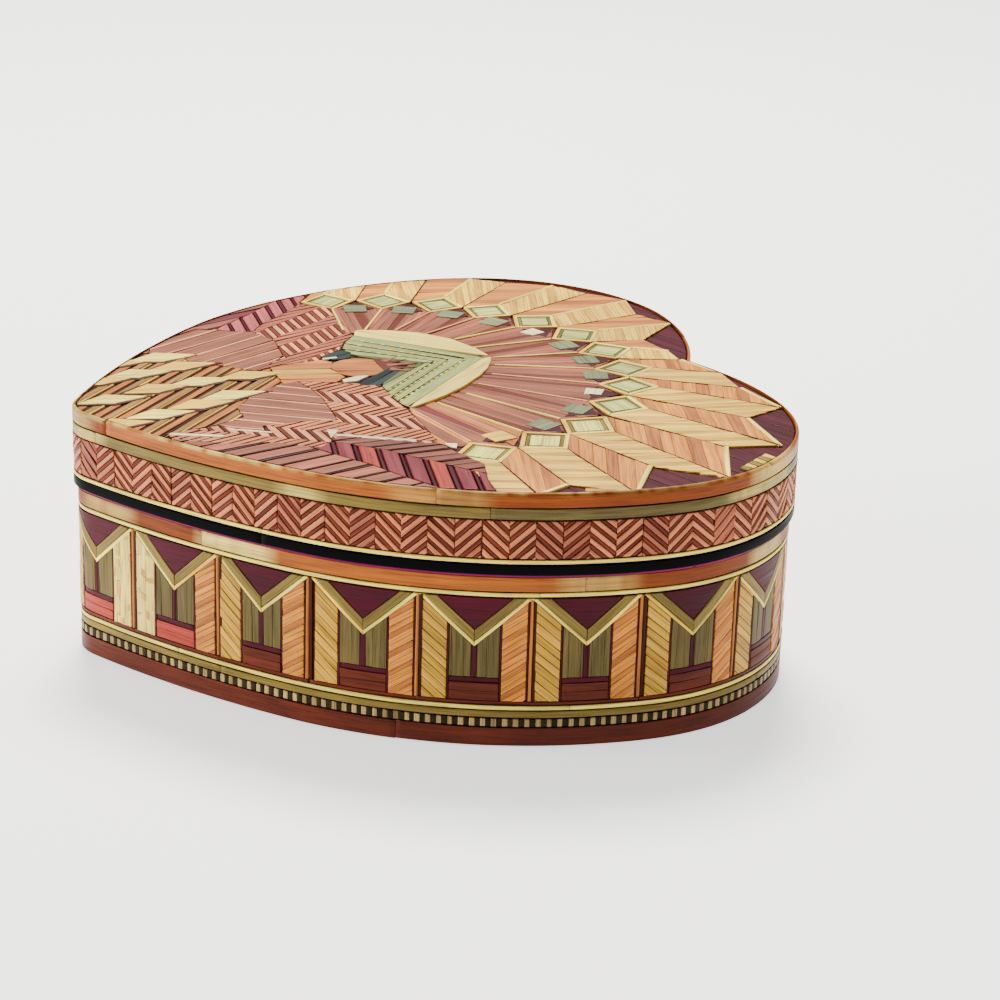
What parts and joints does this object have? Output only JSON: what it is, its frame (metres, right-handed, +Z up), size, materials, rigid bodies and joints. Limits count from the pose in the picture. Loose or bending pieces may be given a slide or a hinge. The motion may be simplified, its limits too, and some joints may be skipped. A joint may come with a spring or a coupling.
{
  "type": "trinket box",
  "caption": "Heart-shaped wooden trinket box covered in coloured straw marquetry, with a lift-off lid and an empty inside.",
  "frame": {"origin": "middle of the outline's bounding box, on the surface the box stands on", "axes": "+Z up, +Y towards the notch of the heart, -Y towards its tip, +X to the right seen from above with the tip down"},
  "size_m": [0.145, 0.137, 0.051],
  "materials": {
    "bare_wood": "matt, plain board inside and below",
    "straw_pale": "undyed straw, silky gloss along the fibre",
    "straw_gold": "golden straw, silky gloss along the fibre",
    "straw_orange": "orange-brown dyed straw, silky gloss",
    "straw_salmon": "faded red dyed straw, silky gloss",
    "straw_olive": "faded green dyed straw, silky gloss",
    "straw_plum": "faded purple dyed straw, silky gloss",
    "straw_dark": "dark dyed straw, near black with a purple cast, glossy"
  },
  "bodies": {
    "root": {"base_floor": "bare_wood", "base_wall": "bare_wood", "base_collar": "bare_wood", "base_orange_band": "straw_orange", "base_upper_cream_band": "straw_pale", "base_frieze_band": "straw_dark", "base_lower_cream_band": "straw_pale", "base_olive_band": "straw_olive", "base_check_band": "straw_olive", "base_foot_band": "straw_salmon", "lid_panel": "bare_wood", "lid_wall": "bare_wood", "lid_rim_band": "straw_orange", "lid_olive_band": "straw_olive", "lid_chevron_band": "straw_salmon", "lid_cream_band": "straw_pale", "lid_black_band": "straw_dark", "picture_ground": "straw_dark", "picture_outer_feathers": "straw_gold", "picture_eye_ring": "straw_olive", "picture_inner_fan": "straw_salmon", "crescent_left": "straw_pale", "crescent_right": "straw_pale", "headband": "straw_olive", "crown_plume": "straw_salmon", "hair_left": "straw_dark", "hair_right": "straw_dark", "face": "straw_gold", "plait": "straw_gold", "robe_left": "straw_salmon", "robe_right": "straw_salmon", "wing_left": "straw_plum", "wing_right": "straw_plum"}
  },
  "joints": []
}
